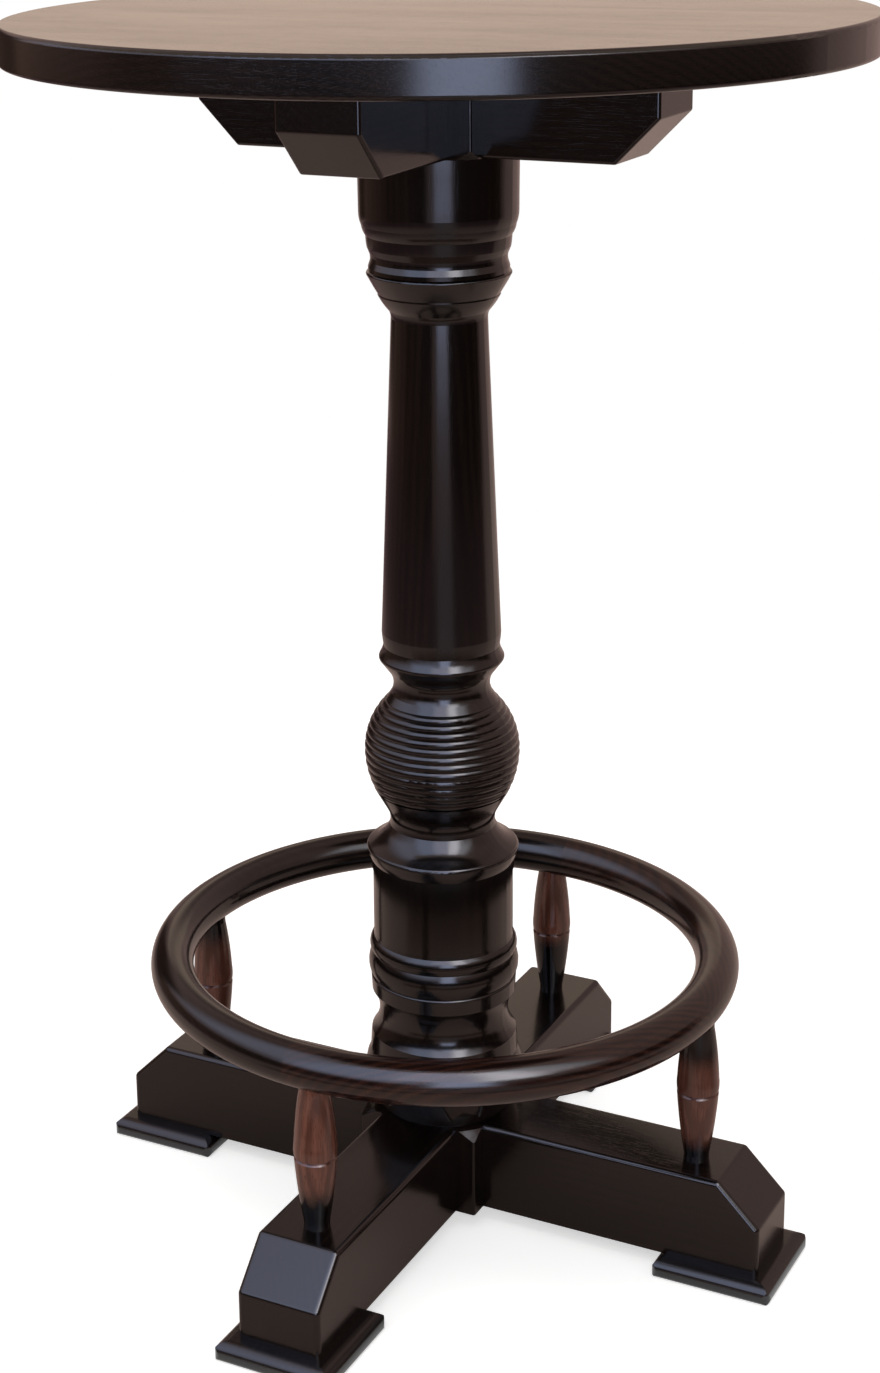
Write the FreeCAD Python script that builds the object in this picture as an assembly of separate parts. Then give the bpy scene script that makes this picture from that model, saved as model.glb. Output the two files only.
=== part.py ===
import FreeCAD
import Part

import math
import os

# Pub table: a round top of glued boards on one turned post. Four arms are
# tenoned into the square foot of the post, each on its own pad, and four
# bearers are tenoned into its square head and carry the top. Four turned
# spindles stand on the arms and hold a round foot rail.
#
# Millimetres, +Z up. The origin is on the floor under the middle of the post.
# X and Y run along the arms: +X is right, +Y is back. The boards run along X.

Vector = FreeCAD.Vector
ALONG_X = Vector(1, 0, 0)
ALONG_Y = Vector(0, 1, 0)
UP = Vector(0, 0, 1)
SIDES = ("right", "back", "left", "front")
TINY = 1e-6

# ---------------------------------------------------------------- sizes

table_height = 1067.0

# Top
top_diameter = 711.0
top_thickness = 32.0
top_edge_round = 4.0
board_width = 142.0
boards_each_side = 2

# Arms on the floor
arm_reach = 313.0
arm_width = 76.0
arm_height = 80.0
arm_chamfer = 37.0
arm_edge_round = 5.0

# Foot pads
pad_height = 16.0
pad_length = 107.0
pad_overhang = 16.0
pad_top_round = 11.0
pad_bottom_round = 4.0
pad_corner_round = 8.0

# Bearers under the top
bearer_reach = 207.0
bearer_width = 73.0
bearer_height = 79.0
bearer_chamfer = 37.0
bearer_edge_round = 3.0

# Square ends of the post
block_side = 113.0
block_edge_round = 2.0
block_shoulder_radius = 70.0
block_shoulder_height = 8.3

# Tenons of the arms and bearers, and the pegs through them
tenon_length = 30.0
tenon_thickness = 30.0
tenon_height = 50.0
peg_diameter = 10.0
peg_length = 70.0

# Foot of the turned stretch, from the arms up
base_foot_radius = 60.6
base_bead_radius = 70.4
base_flare_height = 34.5
base_flare_bulge = 1.3
base_bead_height = 16.0
base_bead_bulge = 1.4
quirk_radius = 65.8
quirk_height = 1.5
fillet_radius = 66.2
fillet_height = 18.0
fillet_bulge = 0.2
cove_foot_radius = 65.0
cove_height = 40.0
cove_depth = 6.9
cove_head_radius = 64.3
low_band_radius = 64.9
low_band_height = 12.0
low_band_round_height = 2.5
low_band_round_bulge = 0.5
lower_valley_radius = 64.0
middle_bead_height = 23.0
middle_bead_bulge = 3.0
upper_valley_radius = 64.0
high_bead_height = 14.5
high_bead_bulge = 2.5
high_bead_head_radius = 62.3
drum_shoulder_height = 3.0
drum_radius = 62.0
drum_height = 61.0
drum_band_radius = 62.8
drum_band_height = 9.0
flange_radius = 66.9
flange_under_height = 10.5
flange_under_bulge = 0.5
flange_lip_radius = 65.2
flange_lip_height = 4.0
flange_lip_bulge = 0.8
flange_top_height = 18.5
flange_top_depth = 2.6

# Necks and the reeded ball
lower_neck_radius = 46.7
lower_neck_height = 14.0
lower_neck_depth = 1.15
lower_cone_radius = 48.2
lower_cone_height = 18.0
ball_foot_radius = 58.5
ball_radius = 68.1
ball_head_radius = 48.7
ball_lower_height = 38.0
ball_upper_height = 45.5
reeds_below = 5
reeds_above = 7
reed_depth = 1.4
upper_cone_radius = 44.3
upper_cone_height = 6.5
upper_neck_radius = 45.6
upper_neck_height = 20.0
upper_neck_depth = 2.9

# Bead that the long taper stands on
waist_bead_radius = 54.0
waist_under_height = 11.0
waist_bead_height = 3.5
waist_bead_bulge = 0.5
waist_groove_radius = 50.5
waist_top_height = 9.5
waist_top_depth = 0.5

# Long taper: its length is what the mouldings leave
taper_foot_radius = 51.8
taper_foot_height = 12.0
taper_foot_bulge = 0.2
taper_head_radius = 40.7

# Head of the turned stretch, from the bearers down
head_drum_radius = 67.1
head_drum_foot_radius = 66.6
head_drum_height = 50.0
bell_shoulder_radius = 64.6
bell_shoulder_height = 10.0
bell_shoulder_bulge = 0.5
bell_bead_radius = 61.1
bell_bead_height = 9.0
bell_bead_bulge = 0.6
bell_band_radius = 60.0
bell_band_height = 10.0
bell_band_bulge = 0.2
bell_foot_radius = 57.7
bell_foot_height = 5.5
collar_neck_radius = 57.5
collar_neck_height = 6.0
collar_neck_depth = 0.3
collar_band_radius = 59.1
collar_top_height = 5.0
collar_band_height = 3.5
collar_lip_radius = 60.9
collar_lip_height = 2.5
collar_lip_bulge = 0.5
collar_under_radius = 51.5
collar_under_height = 16.5
collar_under_bulge = 0.2
crown_step_height = 1.5
crown_radius = 42.4
crown_height = 13.0
crown_bulge = 0.5
crown_foot_height = 6.5
crown_foot_depth = 0.5

# Foot rail, in quarters that meet just before each spindle
rail_diameter = 38.0
rail_middle_height = 238.0
rail_joint_angle = -4.5
rail_dowel_diameter = 8.0
rail_dowel_length = 20.0

# Spindles between the arms and the rail
spindle_setback = 33.0
spindle_foot_radius = 11.0
spindle_foot_height = 3.0
spindle_lower_height = 58.0
spindle_lower_bulge = 0.7
spindle_belly_radius = 18.0
spindle_groove_width = 3.0
spindle_groove_depth = 1.5
spindle_band_height = 12.0
spindle_band_bulge = 0.4
spindle_upper_bulge = 0.7
spindle_head_radius = 13.0
spindle_tenon_diameter = 16.0
spindle_foot_tenon_length = 30.0
spindle_head_tenon_length = 12.0

# Screws
pad_screw_length = 45.0
pad_screw_sink = 3.0
pad_screw_spacing = 45.0
top_screw_length = 65.0
top_screw_bite = 20.0
top_screw_inset = 38.0
top_screw_margin = 20.0
top_screw_bore = 14.0
screw_diameter = 5.0
screw_head_diameter = 10.0
screw_head_height = 3.5
screw_point_height = 5.0
screw_slot_width = 1.2
screw_slot_depth = 1.4

# Clearances
glue_gap = 0.1
screw_gap = 0.1
hole_end_gap = 1.0

# ---------------------------------------------------------------- places

top_radius = top_diameter / 2
arm_top = pad_height + arm_height
top_underside = table_height - top_thickness
bearer_underside = top_underside - bearer_height
block_face = block_side / 2
peg_place = block_face - tenon_length / 2
rail_radius = arm_reach - arm_chamfer - spindle_setback
rail_tube_radius = rail_diameter / 2
rail_underside = rail_middle_height - rail_tube_radius
pad_outer_end = arm_reach + pad_overhang
pad_inner_end = pad_outer_end - pad_length
pad_screw_middle = (pad_inner_end + arm_reach) / 2
pad_screw_places = (
    pad_screw_middle - pad_screw_spacing / 2,
    pad_screw_middle + pad_screw_spacing / 2,
)
top_screw_places = (
    block_face + top_screw_inset,
    bearer_reach - bearer_chamfer - top_screw_margin,
)
top_screw_head = top_underside + top_screw_bite - top_screw_length

# ---------------------------------------------------------------- helpers


def box(x0, x1, y0, y1, z0, z1):
    """Box between two corners."""
    return Part.makeBox(x1 - x0, y1 - y0, z1 - z0, Vector(x0, y0, z0))


def rod(radius, x, z0, z1):
    """Upright cylinder that stands on the X axis."""
    return Part.makeCylinder(radius, z1 - z0, Vector(x, 0, z0), UP)


def to_side(shape, side):
    """Copy of a right-hand shape, turned about the post to another side."""
    copy = shape.copy()
    copy.rotate(Vector(), UP, 90 * SIDES.index(side))
    return copy


def standing(shape):
    """Copy of a shape that rests on Z = 0, set on the level of the pads' tops."""
    copy = shape.copy()
    copy.translate(Vector(0, 0, pad_height))
    return copy


def hanging(shape):
    """Copy of a shape that rests on Z = 0, turned over and hung under the top."""
    copy = shape.copy()
    copy.rotate(Vector(), ALONG_X, 180)
    copy.translate(Vector(0, 0, top_underside))
    return copy


def rounded(shape, radius, wanted):
    """Shape with the edges rounded for which wanted(start, end) is true."""
    ends = [[vertex.Point for vertex in edge.Vertexes] for edge in shape.Edges]
    edges = [edge for edge, points in zip(shape.Edges, ends) if wanted(*points)]
    return shape.makeFillet(radius, edges)


def runs(start, end, direction):
    """Whether an edge runs in a direction."""
    return (end - start).cross(direction).Length < TINY


class Outline:
    """Half outline of a turned piece, which starts on the axis.

    Each step is given by the radius that it ends at and how far it rises.
    """

    def __init__(self, height):
        self.start = Vector(0, 0, height)
        self.end = self.start
        self.edges = []

    def line(self, radius, rise=0.0):
        """Straight step."""
        end = Vector(radius, 0, self.end.z + rise)
        self.edges.append(Part.makeLine(self.end, end))
        self.end = end

    def arc(self, radius, rise, bulge):
        """Round step that stands out from its chord by bulge, or in where negative."""
        chord = Vector(radius - self.end.x, 0, rise)
        outward = Vector(abs(rise), 0, -chord.x * math.copysign(1, rise)).normalize()
        middle = self.end + chord * 0.5 + outward * bulge
        end = self.end + chord
        self.edges.append(Part.Arc(self.end, middle, end).toShape())
        self.end = end

    def join(self, other):
        """Straight step to the end of another outline, and back along it to its start."""
        self.line(other.end.x, other.end.z - self.end.z)
        self.edges += reversed(other.edges)
        self.end = other.start

    def solid(self):
        """Solid of revolution. The outline has come back to the axis."""
        axis = Part.makeLine(self.end, self.start)
        return Part.Face(Part.Wire(self.edges + [axis])).revolve(Vector(), UP, 360)


# ---------------------------------------------------------------- joints at the blocks


def tenon(height, gap=0.0, end_gap=0.0):
    """Tenon in the middle of a right-hand limb that rests on Z = 0, or its mortise."""
    half_width = tenon_thickness / 2 + gap
    half_height = tenon_height / 2 + gap
    return box(
        block_face - tenon_length - end_gap,
        block_face + end_gap,
        -half_width,
        half_width,
        height / 2 - half_height,
        height / 2 + half_height,
    )


def peg(gap=0.0, end_gap=0.0):
    """Upright peg through a right-hand tenon, driven from Z = 0, or its hole."""
    return rod(peg_diameter / 2 + gap, peg_place, -end_gap, peg_length + end_gap)


def limb(reach, width, height, chamfer, edge_round):
    """Right-hand arm that rests on Z = 0, its upper outer corner cut off, with a tenon."""
    side = Part.makePolygon([
        Vector(block_face, -width / 2, 0),
        Vector(reach, -width / 2, 0),
        Vector(reach, -width / 2, height - chamfer),
        Vector(reach - chamfer, -width / 2, height),
        Vector(block_face, -width / 2, height),
        Vector(block_face, -width / 2, 0),
    ])
    bar = Part.Face(side).extrude(ALONG_Y * width)
    bar = rounded(
        bar,
        edge_round,
        lambda start, end: max(start.z, end.z) > TINY and max(start.x, end.x) > block_face + TINY,
    )
    return bar.fuse(tenon(height)).removeSplitter().cut(peg(glue_gap, hole_end_gap))


# ---------------------------------------------------------------- post


def flank_radius(height):
    """Radius of the ball's flank over its widest line, or under it for a height below 0."""
    if height > 0:
        reach = ball_upper_height
        inset = ball_radius - ball_head_radius
    else:
        reach = ball_lower_height
        inset = ball_radius - ball_foot_radius
    return (reach**2 + inset**2) / (2 * inset)


def ball_radius_at(height):
    """Radius of the ball at a height over its widest line, or under it below 0."""
    flank = flank_radius(height)
    return ball_radius - flank + math.sqrt(flank**2 - height**2)


def groove_heights(count, farthest):
    """Heights of grooves, evenly spaced along the ball's flank from its widest line."""
    flank = flank_radius(farthest)
    angle = math.asin(farthest / flank)
    return [flank * math.sin(angle * groove / count) for groove in range(1, count + 1)]


def draw_ball(outline):
    """Ball of round reeds between a lower and an upper cone."""
    grooves = groove_heights(reeds_below, -ball_lower_height)[::-1] + [0]
    grooves += groove_heights(reeds_above, ball_upper_height)
    outline.line(ball_foot_radius, lower_cone_height)
    outline.line(ball_foot_radius - reed_depth)
    for start, end in zip(grooves, grooves[1:]):
        outline.arc(ball_radius_at(end) - reed_depth, end - start, reed_depth)
    outline.line(ball_head_radius)
    outline.line(upper_cone_radius, upper_cone_height)


def draw_base(outline):
    """Base bead, fillet and cove, from the arms up."""
    outline.line(base_foot_radius)
    outline.arc(base_bead_radius, base_flare_height, base_flare_bulge)
    outline.arc(quirk_radius, base_bead_height, base_bead_bulge)
    outline.line(fillet_radius, quirk_height)
    outline.arc(cove_foot_radius, fillet_height, fillet_bulge)
    outline.arc(cove_head_radius, cove_height, -cove_depth)


def draw_drum(outline):
    """Band and two beads, then the drum and the flange over it."""
    outline.line(low_band_radius, low_band_height)
    outline.arc(lower_valley_radius, low_band_round_height, low_band_round_bulge)
    outline.arc(upper_valley_radius, middle_bead_height, middle_bead_bulge)
    outline.arc(high_bead_head_radius, high_bead_height, high_bead_bulge)
    outline.line(drum_radius, drum_shoulder_height)
    outline.line(drum_radius, drum_height)
    outline.line(drum_band_radius)
    outline.line(drum_band_radius, drum_band_height)
    outline.arc(flange_radius, flange_under_height, flange_under_bulge)
    outline.arc(flange_lip_radius, flange_lip_height, flange_lip_bulge)
    outline.arc(lower_neck_radius, flange_top_height, -flange_top_depth)


def draw_waist(outline):
    """Necks and ball, then the bead that the taper stands on."""
    outline.arc(lower_cone_radius, lower_neck_height, -lower_neck_depth)
    draw_ball(outline)
    outline.arc(upper_neck_radius, upper_neck_height, -upper_neck_depth)
    outline.line(waist_bead_radius, waist_under_height)
    outline.arc(waist_bead_radius, waist_bead_height, waist_bead_bulge)
    outline.arc(waist_groove_radius, waist_top_height, -waist_top_depth)
    outline.arc(taper_foot_radius, taper_foot_height, taper_foot_bulge)


def draw_head(outline):
    """Drum, bell, collar and crown, from the bearers down to the taper."""
    outline.line(head_drum_radius)
    outline.line(head_drum_foot_radius, -head_drum_height)
    outline.arc(bell_shoulder_radius, -bell_shoulder_height, bell_shoulder_bulge)
    outline.arc(bell_bead_radius, -bell_bead_height, bell_bead_bulge)
    outline.arc(bell_band_radius, -bell_band_height, bell_band_bulge)
    outline.line(bell_foot_radius, -bell_foot_height)
    outline.arc(collar_neck_radius, -collar_neck_height, -collar_neck_depth)
    outline.line(collar_band_radius, -collar_top_height)
    outline.line(collar_band_radius, -collar_band_height)
    outline.arc(collar_lip_radius, -collar_lip_height, collar_lip_bulge)
    outline.arc(collar_under_radius, -collar_under_height, collar_under_bulge)
    outline.line(collar_under_radius, -crown_step_height)
    outline.arc(crown_radius, -crown_height, crown_bulge)
    outline.arc(taper_head_radius, -crown_foot_height, -crown_foot_depth)


def square_end(height):
    """Square end of the post on Z = 0, with its upper corners turned to a shoulder."""
    block = box(-block_face, block_face, -block_face, block_face, 0, height)
    block = rounded(block, block_edge_round, lambda start, end: runs(start, end, UP))
    turning = Outline(0)
    turning.line(block_side)
    turning.line(block_side, height - block_shoulder_height)
    turning.line(block_face * math.sqrt(2))
    turning.line(block_shoulder_radius, block_shoulder_height)
    turning.line(0)
    return block.common(turning.solid())


def post():
    """One turned post with a square foot and head, mortised on all four sides."""
    outline = Outline(arm_top)
    draw_base(outline)
    draw_drum(outline)
    draw_waist(outline)
    head = Outline(bearer_underside)
    draw_head(head)
    outline.join(head)
    ends = [standing(square_end(arm_height)), hanging(square_end(bearer_height))]
    whole = outline.solid().fuse(ends).removeSplitter()
    joints = [
        standing(tenon(arm_height, glue_gap, hole_end_gap)),
        hanging(tenon(bearer_height, glue_gap, hole_end_gap)),
        standing(peg(glue_gap, hole_end_gap)),
        hanging(peg(glue_gap, hole_end_gap)),
    ]
    return whole.cut([to_side(joint, side) for joint in joints for side in SIDES])


# ---------------------------------------------------------------- screws


def screw(length, x, height, gap=0.0):
    """Countersunk screw that points up, its head's face at a height, or its hole."""
    shank_radius = screw_diameter / 2 + gap
    outline = Outline(height)
    outline.line(screw_head_diameter / 2 + gap)
    outline.line(shank_radius, screw_head_height)
    outline.line(shank_radius, length - screw_head_height - screw_point_height)
    outline.line(0, screw_point_height + gap)
    shape = outline.solid()
    shape.translate(ALONG_X * x)
    return shape


def slotted(screw_shape, x, height):
    """Screw with a driver's slot across its head."""
    reach = screw_head_diameter
    half_width = screw_slot_width / 2
    slot = box(x - reach, x + reach, -half_width, half_width, 0, screw_slot_depth)
    slot.translate(UP * height)
    return screw_shape.cut(slot)


def pad_screws():
    """Screws of the right-hand pad."""
    return [
        slotted(screw(pad_screw_length, x, pad_screw_sink), x, pad_screw_sink)
        for x in pad_screw_places
    ]


def pad_screw_holes():
    """Holes of the right-hand pad's screws, open to the floor."""
    head_radius = screw_head_diameter / 2 + screw_gap
    holes = [screw(pad_screw_length, x, pad_screw_sink, screw_gap) for x in pad_screw_places]
    return holes + [rod(head_radius, x, -hole_end_gap, pad_screw_sink) for x in pad_screw_places]


def top_screws():
    """Screws of the right-hand bearer."""
    return [
        slotted(screw(top_screw_length, x, top_screw_head), x, top_screw_head)
        for x in top_screw_places
    ]


def top_screw_holes():
    """Holes of the right-hand bearer's screws, bored wide from below for the heads."""
    bottom = bearer_underside - hole_end_gap
    holes = [screw(top_screw_length, x, top_screw_head, screw_gap) for x in top_screw_places]
    return holes + [rod(top_screw_bore / 2, x, bottom, top_screw_head) for x in top_screw_places]


# ---------------------------------------------------------------- arms, pads and bearers


def arm():
    """Right-hand arm, tenoned into the post and bored for its spindle and pad."""
    shape = standing(limb(arm_reach, arm_width, arm_height, arm_chamfer, arm_edge_round))
    socket_radius = spindle_tenon_diameter / 2 + glue_gap
    socket_bottom = arm_top - spindle_foot_tenon_length - hole_end_gap
    socket = rod(socket_radius, rail_radius, socket_bottom, arm_top + hole_end_gap)
    return shape.cut([socket] + pad_screw_holes())


def bullnosed(block, direction):
    """Pad blank with its edges in one direction rounded, the upper ones more."""
    shape = rounded(
        block,
        pad_top_round,
        lambda start, end: runs(start, end, direction) and start.z > pad_height - TINY,
    )
    return rounded(
        shape,
        pad_bottom_round,
        lambda start, end: runs(start, end, direction) and start.z < TINY,
    )


def foot_pad():
    """Right-hand pad, rounded all round, which stands out from under its arm."""
    half_width = arm_width / 2 + pad_overhang
    blank = box(pad_inner_end, pad_outer_end, -half_width, half_width, 0, pad_height)
    shape = rounded(blank, pad_corner_round, lambda start, end: runs(start, end, UP))
    shape = shape.common(bullnosed(blank, ALONG_X)).common(bullnosed(blank, ALONG_Y))
    return shape.cut(pad_screw_holes())


def bearer():
    """Right-hand bearer, tenoned into the post and bored for the top's screws."""
    shape = limb(bearer_reach, bearer_width, bearer_height, bearer_chamfer, bearer_edge_round)
    return hanging(shape).cut(top_screw_holes())


# ---------------------------------------------------------------- foot rail


def rail_tube(angle, gap=0.0):
    """Round rail from the X axis through an angle."""
    centre = Vector(rail_radius, 0, rail_middle_height)
    section = Part.makeCircle(rail_tube_radius + gap, centre, ALONG_Y)
    return Part.Face(Part.Wire(section)).revolve(Vector(), UP, angle)


def rail_dowel(gap=0.0, end_gap=0.0):
    """Dowel across the joint before the right-hand spindle, or its hole."""
    half_length = rail_dowel_length / 2 + end_gap
    start = Vector(rail_radius, -half_length, rail_middle_height)
    radius = rail_dowel_diameter / 2 + gap
    dowel = Part.makeCylinder(radius, 2 * half_length, start, ALONG_Y)
    dowel.rotate(Vector(), UP, rail_joint_angle)
    return dowel


def rail_quarter():
    """Quarter of the rail that the right-hand spindle holds, bored at both ends."""
    quarter = rail_tube(90)
    quarter.rotate(Vector(), UP, rail_joint_angle)
    hole = rail_dowel(glue_gap, hole_end_gap)
    socket_radius = spindle_tenon_diameter / 2 + glue_gap
    socket_top = rail_underside + spindle_head_tenon_length + hole_end_gap
    socket = rod(socket_radius, rail_radius, rail_underside - hole_end_gap, socket_top)
    return quarter.cut([hole, to_side(hole, "back"), socket])


def spindle():
    """Right-hand spindle, coped to the rail, with a round tenon at each end."""
    tenon_radius = spindle_tenon_diameter / 2
    half_groove = spindle_groove_width / 2
    outline = Outline(arm_top - spindle_foot_tenon_length)
    outline.line(tenon_radius)
    outline.line(tenon_radius, spindle_foot_tenon_length)
    outline.line(spindle_foot_radius)
    outline.line(spindle_foot_radius, spindle_foot_height)
    outline.arc(spindle_belly_radius, spindle_lower_height, spindle_lower_bulge)
    outline.line(spindle_belly_radius - spindle_groove_depth, half_groove)
    outline.line(spindle_belly_radius, half_groove)
    outline.arc(spindle_belly_radius, spindle_band_height, spindle_band_bulge)
    outline.arc(spindle_head_radius, rail_underside - outline.end.z, spindle_upper_bulge)
    outline.line(spindle_head_radius, rail_tube_radius)
    outline.line(0)
    body = outline.solid()
    body.translate(ALONG_X * rail_radius)
    body = body.cut(rail_tube(360, glue_gap))
    head_tenon_top = rail_underside + spindle_head_tenon_length
    return body.fuse(rod(tenon_radius, rail_radius, arm_top, head_tenon_top)).removeSplitter()


# ---------------------------------------------------------------- top


def top_boards():
    """Boards of the round top, from front to back. The outer ones take what is left."""
    disc = Part.makeCylinder(top_radius, top_thickness, Vector(0, 0, top_underside), UP)
    disc = disc.makeFillet(top_edge_round, [edge for edge in disc.Edges if edge.Closed])
    holes = [to_side(hole, side) for hole in top_screw_holes() for side in SIDES]
    disc = disc.cut(holes)
    joints = [
        (place - 0.5) * board_width for place in range(1 - boards_each_side, boards_each_side + 1)
    ]
    edges = [-top_diameter] + joints + [top_diameter]
    return [
        disc.common(
            box(-top_diameter, top_diameter, front, back, top_underside, table_height)
        )
        for front, back in zip(edges, edges[1:])
    ]


# ---------------------------------------------------------------- nodes


def on_all_sides(shapes):
    """One group of copies of right-hand shapes on every side."""
    return Part.makeCompound([to_side(shape, side) for shape in shapes for side in SIDES])


def nodes():
    """Every node of the table by name."""
    pieces = {
        "post": post(),
        "lower_tenon_pegs": on_all_sides([standing(peg())]),
        "upper_tenon_pegs": on_all_sides([hanging(peg())]),
        "rail_dowels": on_all_sides([rail_dowel()]),
        "foot_pad_screws": on_all_sides(pad_screws()),
        "top_screws": on_all_sides(top_screws()),
    }
    right_hand = {
        "arm": arm(),
        "foot_pad": foot_pad(),
        "bearer": bearer(),
        "spindle": spindle(),
        "rail_quarter": rail_quarter(),
    }
    for kind, shape in right_hand.items():
        for side in SIDES:
            pieces[f"{side}_{kind}"] = to_side(shape, side)
    for number, board in enumerate(top_boards(), start=1):
        pieces[f"top_board_{number}"] = board
    return pieces


os.makedirs("parts", exist_ok=True)
for name, shape in nodes().items():
    shape.exportStep(f"parts/{name}.step")
    print(name, len(shape.Solids), shape.isValid(), round(shape.Volume))
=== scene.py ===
# %% [markdown]
# # A pub table in dark lacquered wood
# The table is solid turned and sawn wood, so every piece of it is rigid and comes
# from the CAD model as it is. What is left for Blender is the finish: a near-black
# stain that lets some grain through, under a satin lacquer. A finish that dark is
# seen mostly by what it mirrors, so the lights matter as much as the colours.

import math

import bpy
from mathutils import Euler, Matrix, Vector

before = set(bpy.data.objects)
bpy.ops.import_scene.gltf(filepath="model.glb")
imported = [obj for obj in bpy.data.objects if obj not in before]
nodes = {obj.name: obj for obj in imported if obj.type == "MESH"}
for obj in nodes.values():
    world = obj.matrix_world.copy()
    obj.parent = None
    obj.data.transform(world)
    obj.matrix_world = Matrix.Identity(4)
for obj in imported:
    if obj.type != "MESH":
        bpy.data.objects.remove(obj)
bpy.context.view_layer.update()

MM = 0.001


# %% [markdown]
# ## Three small helpers
# Colours are written the way a paint chart gives them, in sRGB hex. Cycles counts in
# linear light, so one function turns the first into the second. The next one adds a
# shader node, sets it up and plugs it in, which keeps each material short to read. The
# last one starts a material.


# %% Colour and node helpers
def linear(hex_colour):
    """Linear RGBA of an sRGB colour such as #2a1812."""
    shares = [int(hex_colour[i:i + 2], 16) / 255 for i in (1, 3, 5)]
    return [s / 12.92 if s <= 0.04045 else ((s + 0.055) / 1.055) ** 2.4 for s in shares] + [1.0]


def add(tree, kind, inputs, **settings):
    """New node of a kind. An input takes a value, a socket, or a node for its first output."""
    node = tree.nodes.new(kind)
    for name, value in settings.items():
        setattr(node, name, value)
    for socket, value in inputs.items():
        if isinstance(value, bpy.types.Node):
            value = next(output for output in value.outputs if output.enabled)
        if isinstance(value, bpy.types.NodeSocket):
            tree.links.new(value, node.inputs[socket])
        else:
            node.inputs[socket].default_value = value
    return node


def new_material(name):
    """Empty node material and its tree."""
    material = bpy.data.materials.new(name)
    material.use_nodes = True
    material.node_tree.nodes.clear()
    return material, material.node_tree


mid_grey = [round(share, 3) for share in linear("#808080")]
print("white is", linear("#ffffff"), "and mid grey is", mid_grey)

# %% [markdown]
# ## The wood under the stain
# The real thing is a coarse, straight-grained hardwood that was sawn or turned, then
# soaked in an espresso stain. Three things show through it: the growth rings, a few
# millimetres apart; the fibres, fine streaks that run far along the grain; and slow
# patches where the stain took better. An image would need unwrapping and would not
# match at the joints, so the pattern is solid: it is worked out from each point's
# place in the wood, with the coordinates squeezed along the grain.

# %% Sizes of the grain
RING_WIDTH = 6 * MM
RING_STRETCH = 0.05
FIBRE = (120 * MM, 1.8 * MM, 1.8 * MM)
PATCH = (210 * MM, 60 * MM, 60 * MM)
# Real pores are about 0.2 mm wide. They are drawn wider, or no pixel would catch them.
PORE = (22 * MM, 0.9 * MM, 0.9 * MM)
# How much the fibres count against the patches, and the rings against both.
FIBRE_SHARE = 0.4
RING_SHARE = 0.18
# The pith, the middle of the rings, lies outside the wood, and each piece is cut from
# another place in the tree.
PITH_OFFSET = (0.0, 0.110, 0.065)
PIECE_STEP = (0.37, 0.043, 0.029)
# A wave texture counts 20 radians to the unit.
RING_SCALE = 2 * math.pi / 20 / RING_WIDTH


def grain_coordinates(tree, turn, number):
    """Coordinates with X along the grain. The number picks another part of the tree."""
    place = add(tree, "ShaderNodeTexCoord", {})
    offset = [start + step * number for start, step in zip(PITH_OFFSET, PIECE_STEP)]
    return add(tree, "ShaderNodeMapping", {
        "Vector": place.outputs["Object"], "Location": offset, "Rotation": turn,
    })


def solid_noise(tree, coordinates, size, detail=2, roughness=0.5):
    """Noise in three dimensions, with cells of a size along and across the grain."""
    cells = add(tree, "ShaderNodeVectorMath", {
        0: coordinates, 1: [1 / length for length in size],
    }, operation="MULTIPLY")
    return add(tree, "ShaderNodeTexNoise", {
        "Vector": cells, "Scale": 1, "Detail": detail, "Roughness": roughness,
    })


def growth_rings(tree, coordinates):
    """Rings about the pith, wavy over a long stretch of the grain."""
    flattened = add(tree, "ShaderNodeVectorMath", {
        0: coordinates, 1: (RING_STRETCH, 1, 1),
    }, operation="MULTIPLY")
    return add(tree, "ShaderNodeTexWave", {
        "Vector": flattened, "Scale": RING_SCALE, "Distortion": 4,
        "Detail": 3, "Detail Scale": 1.2, "Detail Roughness": 0.6,
    }, wave_type="RINGS", rings_direction="X").outputs["Fac"]


def figure(tree, coordinates):
    """Rings, fibres and patches added up, near 0.5 where the wood is plain."""
    patches = solid_noise(tree, coordinates, PATCH)
    fibres = solid_noise(tree, coordinates, FIBRE, detail=4, roughness=0.6)
    both = add(tree, "ShaderNodeMix", {"Factor": FIBRE_SHARE, "A": patches, "B": fibres})
    return add(tree, "ShaderNodeMix", {
        "Factor": RING_SHARE, "A": both, "B": growth_rings(tree, coordinates),
    })


print("rings in 100 mm:", round(100 * MM / RING_WIDTH))

# %% [markdown]
# ## Satin lacquer over espresso stain
# Nitrocellulose lacquer is a clear resin, with an IOR near 1.5, sprayed on and rubbed
# to a satin. The eye gets soft-edged but clear reflections, and almost no colour of
# its own. Pores stay a little open under it and show as fine dark dashes, and the
# film has a faint orange-peel wave, which breaks up the reflections on flat faces.

# %% Stained and lacquered wood
DARK_STAIN = "#060403"
LIGHT_STAIN = "#150c0a"
# The values of the figure at which the stain is darkest and lightest.
TONE_RANGE = (0.42, 0.68)
# Noise below the first value is a pore, and above the second it is sound wood.
PORE_RANGE = (0.34, 0.42)
# Over how much height a spindle's lighter middle turns back to the dark stain.
STAIN_BLEND = 22 * MM
LACQUER_IOR = 1.5
LACQUER_ROUGHNESS = 0.15
ROUGHNESS_SPREAD = 0.05
PORE_DEPTH = 0.012 * MM
PEEL = (14 * MM, 9 * MM, 9 * MM)
PEEL_HEIGHT = 0.02 * MM


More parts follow.
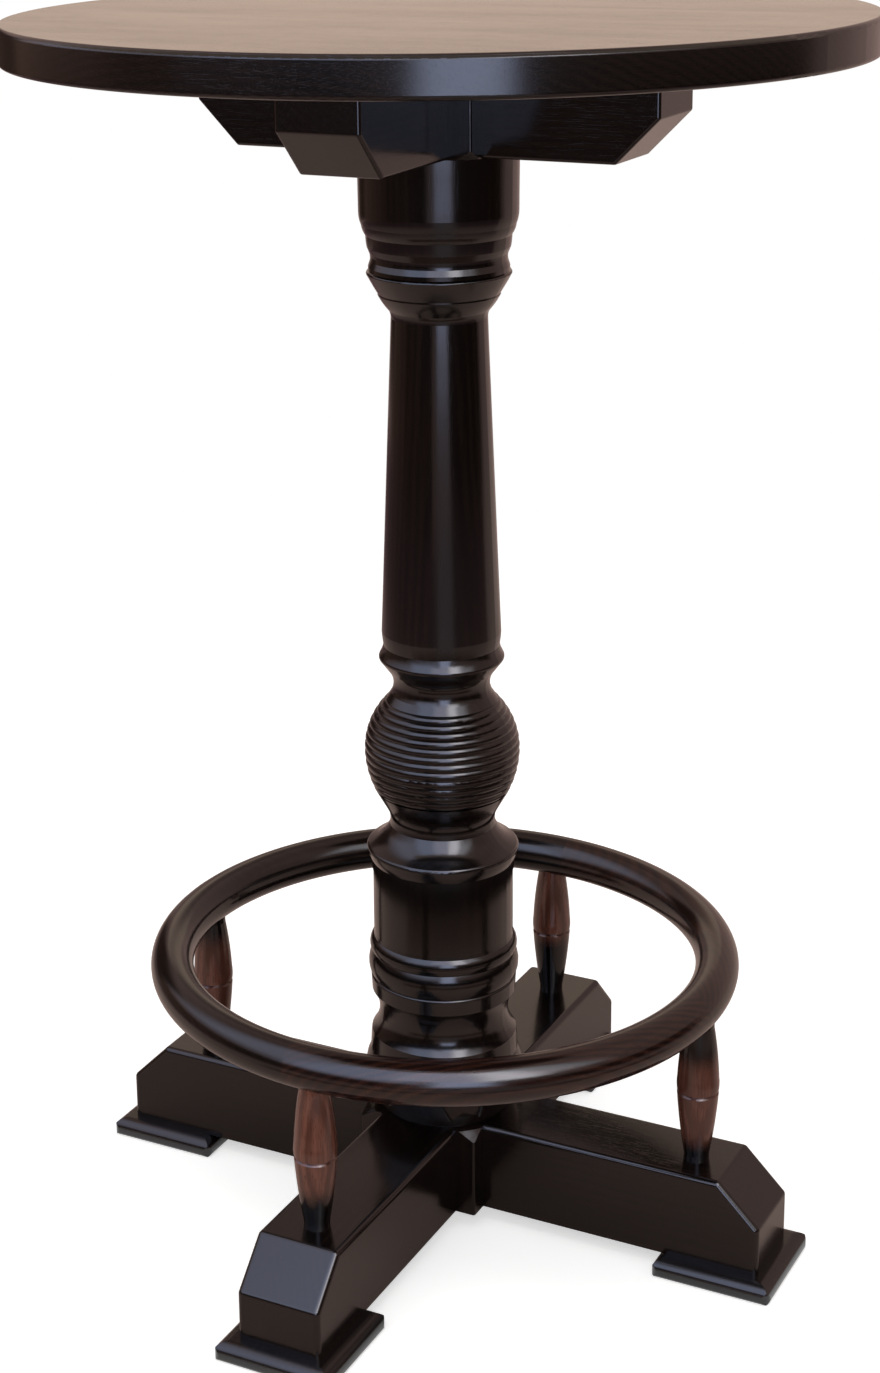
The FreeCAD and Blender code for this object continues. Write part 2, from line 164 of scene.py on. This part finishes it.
def between(tree, low, high, blend):
    """1 between two heights above the floor, fading to 0 within a blend of each."""
    place = add(tree, "ShaderNodeTexCoord", {}).outputs["Object"]
    height = add(tree, "ShaderNodeSeparateXYZ", {"Vector": place}).outputs["Z"]
    off_middle = add(tree, "ShaderNodeMath", {
        0: height, 1: (low + high) / 2,
    }, operation="SUBTRACT")
    away = add(tree, "ShaderNodeMath", {0: off_middle}, operation="ABSOLUTE")
    return add(tree, "ShaderNodeMapRange", {
        "Value": away, "From Min": (high - low) / 2, "From Max": (high - low) / 2 - blend,
    }, interpolation_type="SMOOTHSTEP")


def lacquered_wood(name, turn, number, dark=DARK_STAIN, light=LIGHT_STAIN, lighter_between=None,
                   roughness=LACQUER_ROUGHNESS):
    """Stained wood under satin lacquer, turning to the dark stain outside any given heights."""
    material, tree = new_material(name)
    coordinates = grain_coordinates(tree, turn, number)
    tone = add(tree, "ShaderNodeMapRange", {
        "Value": figure(tree, coordinates),
        "From Min": TONE_RANGE[0], "From Max": TONE_RANGE[1],
    })
    pores = add(tree, "ShaderNodeMapRange", {
        "Value": solid_noise(tree, coordinates, PORE),
        "From Min": PORE_RANGE[0], "From Max": PORE_RANGE[1],
    })
    stain = add(tree, "ShaderNodeMix", {
        "Factor": tone, "A": linear(dark), "B": linear(light),
    }, data_type="RGBA")
    colour = add(tree, "ShaderNodeMix", {
        "Factor": pores, "A": linear(dark), "B": stain,
    }, data_type="RGBA")
    if lighter_between:
        colour = add(tree, "ShaderNodeMix", {
            "Factor": between(tree, *lighter_between, blend=STAIN_BLEND),
            "A": linear(DARK_STAIN), "B": colour,
        }, data_type="RGBA")
    sheen = add(tree, "ShaderNodeMapRange", {
        "Value": solid_noise(tree, coordinates, PATCH),
        "To Min": roughness + ROUGHNESS_SPREAD, "To Max": roughness - ROUGHNESS_SPREAD,
    })
    peel = add(tree, "ShaderNodeBump", {
        "Height": solid_noise(tree, coordinates, PEEL), "Strength": 1, "Distance": PEEL_HEIGHT,
    })
    film = add(tree, "ShaderNodeBump", {
        "Height": pores, "Strength": 1, "Distance": PORE_DEPTH, "Normal": peel,
    })
    shader = add(tree, "ShaderNodeBsdfPrincipled", {
        "Base Color": colour, "Roughness": sheen, "IOR": LACQUER_IOR, "Normal": film,
    })
    add(tree, "ShaderNodeOutputMaterial", {"Surface": shader})
    return material


def dress(node_name, material):
    """Gives a CAD node its material."""
    nodes[node_name].material_slots[0].material = material


# %% [markdown]
# ## Grain that runs as a joiner would cut it
# Each piece is cut so that its grain runs along its strength: up the post and the
# spindles, along each arm, bearer and board, and across the bow of each quarter of
# the foot rail. Pieces of one kind have different numbers, so each of them is cut from
# another place in the tree and no two show the same figure.

# %% Dress the straight pieces
SIDES = ("right", "back", "left", "front")
UPRIGHT = (0, math.radians(90), 0)
# Where each kind's numbers start, and the step from one piece to the next.
NUMBERS = {
    "arm": (4, 5), "bearer": (7, 5), "foot_pad": (9, 5),
    "top_board": (31, 3), "rail_quarter": (51, 4), "spindle": (71, 4),
}
# Shoes have scuffed the pads, so the film on them is duller.
PAD_ROUGHNESS = 0.26


def level(degrees):
    """Turn that lays the grain level, at a heading from the X axis."""
    return (0, 0, -math.radians(degrees))


def own_number(kind, place):
    """Number of a piece, from its place among the pieces of its kind."""
    first, step = NUMBERS[kind]
    return first + step * place


dress("post", lacquered_wood("stained_post", UPRIGHT, 0))
for quarter, side in enumerate(SIDES):
    for kind in ("arm", "bearer", "foot_pad"):
        node_name = f"{side}_{kind}"
        dress(node_name, lacquered_wood(
            f"stained_{node_name}", level(90 * quarter), own_number(kind, quarter),
            roughness=PAD_ROUGHNESS if kind == "foot_pad" else LACQUER_ROUGHNESS,
        ))
boards = sorted(name for name in nodes if name.startswith("top_board"))
for place, node_name in enumerate(boards):
    dress(node_name, lacquered_wood(
        f"stained_{node_name}", level(0), own_number("top_board", place),
    ))
print("boards in the top:", len(boards))

# %% Dress the foot rail and the spindles
# Degrees from the X axis to the first joint of the rail.
RAIL_JOINT = -4.5
# The front and right quarters of the rail are a little redder and lighter.
RAIL_STAINS = {"right": ("#0b0604", "#30180f"), "front": ("#120806", "#341b14")}
# The spindles are redder and lighter, but towards both ends they turn to the dark stain.
SPINDLE_DARK = "#4d2c23"
SPINDLE_LIGHT = "#75483b"
# Each is lighter between heights of its own.
LIGHTER_HEIGHTS = {
    "right": (102 * MM, 202 * MM), "back": (142 * MM, 240 * MM),
    "left": (112 * MM, 214 * MM), "front": (116 * MM, 250 * MM),
}

for quarter, side in enumerate(SIDES):
    node_name = f"{side}_rail_quarter"
    # The middle of the bow is 45 degrees past its joint, and the grain is square to that.
    across_bow = RAIL_JOINT + 90 * quarter + 45 + 90
    dress(node_name, lacquered_wood(
        f"stained_{node_name}", level(across_bow), own_number("rail_quarter", quarter),
        *RAIL_STAINS.get(side, (DARK_STAIN, LIGHT_STAIN)),
    ))
    node_name = f"{side}_spindle"
    dress(node_name, lacquered_wood(
        f"stained_{node_name}", UPRIGHT, own_number("spindle", quarter),
        SPINDLE_DARK, SPINDLE_LIGHT, LIGHTER_HEIGHTS[side],
    ))
# The spindles counted here are lighter between two heights and dark at both ends.
print("redder quarters:", len(RAIL_STAINS), "and wiped spindles:", len(LIGHTER_HEIGHTS))

# %% [markdown]
# ## Hidden fastenings
# The dowels and pegs are bare beech, glued in. The screws are zinc-plated steel: a
# metal that was cold-headed and plated, so it is a bright, slightly clouded grey.

# %% Beech and zinc-plated steel
BEECH_DARK = "#a8805a"
BEECH_LIGHT = "#c9a47c"
BEECH_FLECK = (6 * MM, 0.8 * MM, 0.8 * MM)
BEECH_ROUGHNESS = 0.7
ZINC_DULL = "#8d8f93"
ZINC_BRIGHT = "#b4b6ba"
ZINC_CLOUD = (2 * MM, 2 * MM, 2 * MM)
ZINC_ROUGHNESS = (0.4, 0.28)


def bare_beech():
    """Bare beech with its short, fine flecks."""
    material, tree = new_material("bare_beech")
    coordinates = grain_coordinates(tree, UPRIGHT, number=3)
    flecks = solid_noise(tree, coordinates, BEECH_FLECK, detail=3)
    colour = add(tree, "ShaderNodeMix", {
        "Factor": flecks, "A": linear(BEECH_DARK), "B": linear(BEECH_LIGHT),
    }, data_type="RGBA")
    shader = add(tree, "ShaderNodeBsdfPrincipled", {
        "Base Color": colour, "Roughness": BEECH_ROUGHNESS,
    })
    add(tree, "ShaderNodeOutputMaterial", {"Surface": shader})
    return material


def zinc_plate():
    """Zinc-plated steel, clouded by the plating bath."""
    material, tree = new_material("zinc_plated_steel")
    coordinates = grain_coordinates(tree, UPRIGHT, number=5)
    clouds = solid_noise(tree, coordinates, ZINC_CLOUD, detail=3)
    colour = add(tree, "ShaderNodeMix", {
        "Factor": clouds, "A": linear(ZINC_DULL), "B": linear(ZINC_BRIGHT),
    }, data_type="RGBA")
    roughness = add(tree, "ShaderNodeMapRange", {
        "Value": clouds, "To Min": ZINC_ROUGHNESS[0], "To Max": ZINC_ROUGHNESS[1],
    })
    shader = add(tree, "ShaderNodeBsdfPrincipled", {
        "Base Color": colour, "Roughness": roughness, "Metallic": 1,
    })
    add(tree, "ShaderNodeOutputMaterial", {"Surface": shader})
    return material


beech = bare_beech()
zinc = zinc_plate()
for node_name in ("lower_tenon_pegs", "upper_tenon_pegs", "rail_dowels"):
    dress(node_name, beech)
for node_name in ("foot_pad_screws", "top_screws"):
    dress(node_name, zinc)
print("materials:", len(bpy.data.materials))

# %% [markdown]
# ## Camera
# The view is from a little above the top and to the right of the front arm. The
# camera is level with a person's chest and looks down, so the post narrows towards
# the floor. The lens is shifted a little, because the table doesn't stand in the middle
# of what it looks at.

# %% Place the camera
FRAME_LONG_SIDE = 1373
FOCAL_PIXELS = 2532.3
SENSOR = 36.0
CAMERA_AZIMUTH = math.radians(26.034)
CAMERA_DISTANCE = 2.0825
CAMERA_HEIGHT = 1.2301
CAMERA_TURN = math.radians(2.296)
CAMERA_PITCH = math.radians(15.870)
CAMERA_ROLL = math.radians(-1.011)
CAMERA_SHIFT = (0.0706, -0.1186)


def around(azimuth, reach, height):
    """Point at a reach from the post. Azimuths count from the camera's side to the right."""
    turn = CAMERA_AZIMUTH + math.radians(azimuth)
    return (reach * math.sin(turn), -reach * math.cos(turn), height)


def place_camera():
    """Camera at the viewing angle, with its lens worked out from the focal length."""
    data = bpy.data.cameras.new("camera")
    data.sensor_width = SENSOR
    data.lens = FOCAL_PIXELS / FRAME_LONG_SIDE * SENSOR
    data.shift_x, data.shift_y = CAMERA_SHIFT
    camera = bpy.data.objects.new("camera", data)
    bpy.context.scene.collection.objects.link(camera)
    aim = Euler((math.radians(90) - CAMERA_PITCH, 0, CAMERA_AZIMUTH + CAMERA_TURN)).to_matrix()
    rolled = (aim @ Matrix.Rotation(CAMERA_ROLL, 3, "Z")).to_4x4()
    place = around(0, CAMERA_DISTANCE, CAMERA_HEIGHT)
    camera.matrix_world = Matrix.Translation(place) @ rolled
    bpy.context.scene.camera = camera
    return camera


camera = place_camera()
print("lens in mm:", round(camera.data.lens, 2))

# %% [markdown]
# ## Floor and background
# The background is plain white and the floor is pale, and it fades into the white so
# that no edge shows. The floor is lit like anything else, so it keeps the table's
# shadow. The little glow that lifts it to white is for what the camera, a mirror or
# a glass sees, and lights nothing.

# %% White background and pale floor
FLOOR_RADIUS = 2.4
FLOOR_CORNERS = 128
FLOOR_FADE = (0.5 * FLOOR_RADIUS, 0.95 * FLOOR_RADIUS)
FLOOR_COLOUR = "#f4f3f1"
FLOOR_GLOW = 0.58
# How bright the surroundings are for the rays that light things.
AMBIENT = 0.6


def seen_directly(tree):
    """1 for camera, mirror and glass rays, and 0 for the rays that light things."""
    path = add(tree, "ShaderNodeLightPath", {}).outputs
    either = add(tree, "ShaderNodeMath", {
        0: path["Is Camera Ray"], 1: path["Is Glossy Ray"],
    }, operation="MAXIMUM")
    return add(tree, "ShaderNodeMath", {
        0: either, 1: path["Is Transmission Ray"],
    }, operation="MAXIMUM")


def set_background():
    """White where it is seen, and a plain soft level where it lights."""
    world = bpy.data.worlds.new("white_studio")
    world.use_nodes = True
    tree = world.node_tree
    tree.nodes.clear()
    strength = add(tree, "ShaderNodeMapRange", {
        "Value": seen_directly(tree), "To Min": AMBIENT, "To Max": 1,
    })
    background = add(tree, "ShaderNodeBackground", {
        "Color": linear("#ffffff"), "Strength": strength,
    })
    add(tree, "ShaderNodeOutputWorld", {"Surface": background})
    bpy.context.scene.world = world


def staged(name, corners, faces):
    """Mesh that is part of the studio and not of the table."""
    mesh = bpy.data.meshes.new(name)
    mesh.from_pydata(corners, [], faces)
    result = bpy.data.objects.new(name, mesh)
    bpy.context.scene.collection.objects.link(result)
    return result


def pale_floor():
    """Matt white floor that fades out towards its rim."""
    material, tree = new_material("pale_floor")
    place = add(tree, "ShaderNodeTexCoord", {}).outputs["Object"]
    distance = add(tree, "ShaderNodeVectorMath", {0: place}, operation="LENGTH")
    fade = add(tree, "ShaderNodeMapRange", {
        "Value": distance.outputs["Value"],
        "From Min": FLOOR_FADE[0], "From Max": FLOOR_FADE[1],
    })
    strength = add(tree, "ShaderNodeMath", {
        0: seen_directly(tree), 1: FLOOR_GLOW,
    }, operation="MULTIPLY")
    matt = add(tree, "ShaderNodeBsdfDiffuse", {"Color": linear(FLOOR_COLOUR)})
    lift = add(tree, "ShaderNodeEmission", {"Color": linear("#ffffff"), "Strength": strength})
    both = add(tree, "ShaderNodeAddShader", {0: matt, 1: lift})
    clear = add(tree, "ShaderNodeBsdfTransparent", {})
    shader = add(tree, "ShaderNodeMixShader", {0: fade, 1: both, 2: clear})
    add(tree, "ShaderNodeOutputMaterial", {"Surface": shader})
    return material


set_background()
turns = [2 * math.pi * step / FLOOR_CORNERS for step in range(FLOOR_CORNERS)]
floor = staged(
    "floor",
    [(FLOOR_RADIUS * math.cos(turn), FLOOR_RADIUS * math.sin(turn), 0) for turn in turns],
    [range(len(turns))],
)
floor.data.materials.append(pale_floor())
print("floor across, in metres:", 2 * FLOOR_RADIUS)

# %% [markdown]
# ## Cards for the lacquer to mirror
# Dark lacquer in an all-white room turns milky. A photographer hangs cards round such
# a piece, where only the piece sees them: bright ones for the bands of light, tan
# ones where a warm reflection is wanted, and dark ones to keep the faces deep. These
# are bent sheets on a big dome round the table, with soft edges, so that one tone
# runs into the next. Only mirror rays can see them, so they light nothing and hide
# nothing. A brightness of 1 is white.

# %% Ways to hang and to light a card
DOME_RADIUS = 3.2
DOME_MIDDLE = 0.4
CARD_GAP = 0.01
# Degrees of the dome to one face of a card.
CARD_STEP = 4
cards = []


def on_dome(azimuth, elevation):
    """Point of the dome. Each card hangs a little in front of the ones before it."""
    climb = math.radians(elevation)
    radius = DOME_RADIUS - CARD_GAP * len(cards)
    return around(azimuth, radius * math.cos(climb), DOME_MIDDLE + radius * math.sin(climb))


def spread(ends, count):
    """Values from one end to the other, so many equal steps apart."""
    return [ends[0] + (ends[1] - ends[0]) * step / count for step in range(count + 1)]


def bent_sheet(name, place, across, up, steps):
    """Sheet through place(across, up), hidden from all but mirror rays."""
    columns, rows = steps
    corners = [place(a, b) for a in spread(across, columns) for b in spread(up, rows)]
    starts = [i * (rows + 1) + j for i in range(columns) for j in range(rows)]
    sheet = staged(name, corners, [(at, at + rows + 1, at + rows + 2, at + 1) for at in starts])
    unrolled = sheet.data.uv_layers.new(name="unrolled")
    for loop in sheet.data.loops:
        i, j = divmod(loop.vertex_index, rows + 1)
        unrolled.data[loop.index].uv = (i / columns, j / rows)
    for rays in ("camera", "diffuse", "transmission", "volume_scatter", "shadow"):
        setattr(sheet, f"visible_{rays}", False)
    cards.append(sheet)
    return sheet


def glow(name, colour, brightness, softness):
    """Even glow that fades to clear at the edges. The softness is a share of each side."""
    material, tree = new_material(name)
    unrolled = add(tree, "ShaderNodeTexCoord", {}).outputs["UV"]
    off_middle = add(tree, "ShaderNodeVectorMath", {
        0: unrolled, 1: (0.5, 0.5, 0),
    }, operation="SUBTRACT")
    away = add(tree, "ShaderNodeVectorMath", {0: off_middle}, operation="ABSOLUTE")
    # 0 at an edge and 1 at the end of its soft part.
    inside = add(tree, "ShaderNodeVectorMath", {
        0: away,
        1: [-1 / share for share in softness] + [0],
        2: [0.5 / share for share in softness] + [0],
    }, operation="MULTIPLY_ADD")
    sides = add(tree, "ShaderNodeSeparateXYZ", {"Vector": inside}).outputs
    nearest = add(tree, "ShaderNodeMath", {0: sides["X"], 1: sides["Y"]}, operation="MINIMUM")
    cover = add(tree, "ShaderNodeMapRange", {"Value": nearest}, interpolation_type="SMOOTHSTEP")
    clear = add(tree, "ShaderNodeBsdfTransparent", {})
    lit = add(tree, "ShaderNodeEmission", {"Color": linear(colour), "Strength": brightness})
    shader = add(tree, "ShaderNodeMixShader", {0: cover, 1: clear, 2: lit})
    add(tree, "ShaderNodeOutputMaterial", {"Surface": shader})
    return material


def card(name, azimuths, elevations, colour, brightness, soft=(8, 8)):
    """Glowing card on the dome, its edges soft over so many degrees."""
    spans = (azimuths[1] - azimuths[0], elevations[1] - elevations[0])
    steps = [math.ceil(span / CARD_STEP) for span in spans]
    sheet = bent_sheet(name, on_dome, azimuths, elevations, steps)
    shares = [min(0.5, edge / span) for edge, span in zip(soft, spans)]
    sheet.data.materials.append(glow(name, colour, brightness, shares))


# %% Hang the cards
WALL = "#d9b8af"
TAN = "#d6beac"
BROWN = "#8b6d60"
SKY = "#c4cff0"
HAZE = "#e3e4ff"
BRIGHT_SKY = "#efedf5"

# The room: a warm wall all round and overhead, dimmer straight behind the table, but
# for the low tan band there that the top mirrors.
card("wall_card", (-180, 180), (-10, 90), WALL, 0.8, (0.1, 0.1))
card("dim_wall_card", (166, 206), (-10, 60), WALL, 0.5)
card("lit_wall_card", (52, 112), (26, 66), WALL, 0.95, (14, 10))
card("top_reflection_card", (158, 202), (10, 26), TAN, 1.25, (4, 4))
# Low down on the camera's side and far left it is dark.
card("left_back_dark_card", (-160, -122), (-10, 28), BROWN, 0.25)
card("low_left_dark_card", (-134, -30), (-10, 11), BROWN, 0.8, (8, 4))
card("low_middle_dark_card", (-92, -14), (-10, 11), BROWN, 0.4, (16, 4))
card("low_dark_card", (-44, 110), (-10, 11), BROWN, 0.18, (16, 4))
# A hazy sky from the left, which gets brighter towards the camera and overhead.
card("left_sky_card", (-134, -6), (8, 80), HAZE, 2.05, (46, 24))
card("middle_sky_card", (-66, -2), (6, 84), SKY, 3.9, (16, 20))
card("right_sky_card", (14, 68), (18, 84), BRIGHT_SKY, 3.5, (18, 18))
# A tall window behind the camera with the wall under it, and the bright sky above, a
# little to the right.
card("window_foot_card", (-20, 24), (-10, 7), WALL, 0.7, (6, 5))
card("window_card", (-8.5, 20.5), (-4, 34), SKY, 6.5, (8, 11))
card("high_window_card", (-24, 18), (22, 76), HAZE, 4.8)
card("bright_sky_card", (8, 43), (18, 68), BRIGHT_SKY, 10.5, (13, 9))
print("cards on the dome:", len(cards))

# %% [markdown]
# The floor is white to the eye, but a real wood floor would be warm in the lacquer and fall off
# into the room. Flat sheets just over the floor stand for it in mirrors: some that are lit like
# the floor itself, one of them with painted shade that darkens it away from the table, a patch
# of painted shade in front of the table, and a painted streak of the window's light on the
# floor beyond it.

# %% Lay the floor cards
NEAR_FLOOR = "#e1c4b8"
# Painted shade: the floor is darker far from the table, where less light falls.
SHADED_FAR_FLOOR = "#85686a"
# Painted light: the streak that the window lays on the floor.
WINDOW_STREAK_LIGHT = "#e8d8da"
FLOOR_CARD_GAP = 0.6 * MM


def on_floor(azimuth, radius):
    """Point just over the floor, the later the card the higher."""
    return around(azimuth, radius, FLOOR_CARD_GAP * (1 + len(cards)))


def lit_floor(name, azimuths, near, far, fade):
    """Matt sheet over the floor whose colour changes from near the post to far from it."""
    sheet = bent_sheet(name, on_floor, azimuths, (0.0, DOME_RADIUS), steps=(90, 1))
    material, tree = new_material(name)
    place = add(tree, "ShaderNodeTexCoord", {}).outputs["Object"]
    distance = add(tree, "ShaderNodeVectorMath", {0: place}, operation="LENGTH")
    share = add(tree, "ShaderNodeMapRange", {
        "Value": distance.outputs["Value"], "From Min": fade[0], "From Max": fade[1],
    })
    colour = add(tree, "ShaderNodeMix", {
        "Factor": share, "A": linear(near), "B": linear(far),
    }, data_type="RGBA")
    matt = add(tree, "ShaderNodeBsdfDiffuse", {"Color": colour})
    add(tree, "ShaderNodeOutputMaterial", {"Surface": matt})
    sheet.data.materials.append(material)


lit_floor("warm_floor_card", (0, 360), NEAR_FLOOR, NEAR_FLOOR, (1, 2))
lit_floor("fading_floor_card", (-166, 98), NEAR_FLOOR, SHADED_FAR_FLOOR, (0.9, 2.2))
shade = bent_sheet("shaded_floor_card", on_floor, (-66, 84), (0.52, 1.0), steps=(36, 4))
shade.data.materials.append(glow("shaded_floor_card", BROWN, 0.75, (0.1, 0.3)))
streak = bent_sheet("window_streak_card", on_floor, (-14, 30), (0.7, 3.1), steps=(12, 4))
streak.data.materials.append(glow("window_streak_card", WINDOW_STREAK_LIGHT, 0.6, (0.3, 0.2)))
print("cards with those on the floor:", len(cards))

# %% [markdown]
# The window is so bright that the flat top would turn white when seen from behind. A
# photographer hangs a scrim, a thin sheet that tones a lamp down, where the piece should
# catch less of it. This one hangs in the air in front of the table, a little higher than
# the top and some 150 mm clear of its rim, where little but the top can see it. It has
# the tan of the card behind the table, so most of the top shows that tone from both
# sides. Next to the far rim the window still shows, under the sheet.

# %% Hang the scrim
SCRIM_RADIUS = 0.5
SCRIM_SPAN = (-84, 84)
SCRIM_HEIGHTS = (1.12, 1.62)


def clear_of_rim(azimuth, height):
    """Point at a height, at the scrim's distance from the post."""
    return around(azimuth, SCRIM_RADIUS, height)


scrim = bent_sheet("scrim_card", clear_of_rim, SCRIM_SPAN, SCRIM_HEIGHTS, steps=(56, 4))
scrim.data.materials.append(glow("scrim_card", TAN, 1.25, (0.06, 0.04)))
print("sheets only mirrors see:", len(cards))

# %% [markdown]
# ## Lights
# The light itself is plain and soft: one wide panel over the camera's side and a
# weaker one from behind, both white. The cards already give the reflections, so the
# panels are kept out of mirrors. A panel's power is worked out from the brightness
# that its face should have.

# %% Hang the lights
PANELS = {
    "key_panel": {
        "azimuth": -20, "distance": 2.2, "height": 3.0, "size": (2.6, 2.0), "brightness": 1.5,
    },
    "back_panel": {
        "azimuth": 150, "distance": 2.6, "height": 2.6, "size": (2.4, 1.8), "brightness": 0.8,
    },
}
PANEL_AIM = Vector((0, 0, 0.5))
# For a brightness of 1, in watts to the square metre.
PANEL_POWER = 4


def soft_panel(name, azimuth, distance, height, size, brightness):
    """Rectangular lamp that faces the post."""
    data = bpy.data.lights.new(name, "AREA")
    data.shape = "RECTANGLE"
    data.size, data.size_y = size
    data.energy = PANEL_POWER * brightness * size[0] * size[1]
    lamp = bpy.data.objects.new(name, data)
    lamp.location = around(azimuth, distance, height)
    lamp.rotation_euler = (lamp.location - PANEL_AIM).to_track_quat("Z", "Y").to_euler()
    lamp.visible_camera = False
    lamp.visible_glossy = False
    bpy.context.scene.collection.objects.link(lamp)


for panel_name, settings in PANELS.items():
    soft_panel(panel_name, **settings)
print("panels:", len(PANELS))

# %% [markdown]
# Colours go to the screen as they are, with no film curve.

# %% Finish
bpy.context.scene.view_settings.view_transform = "Standard"
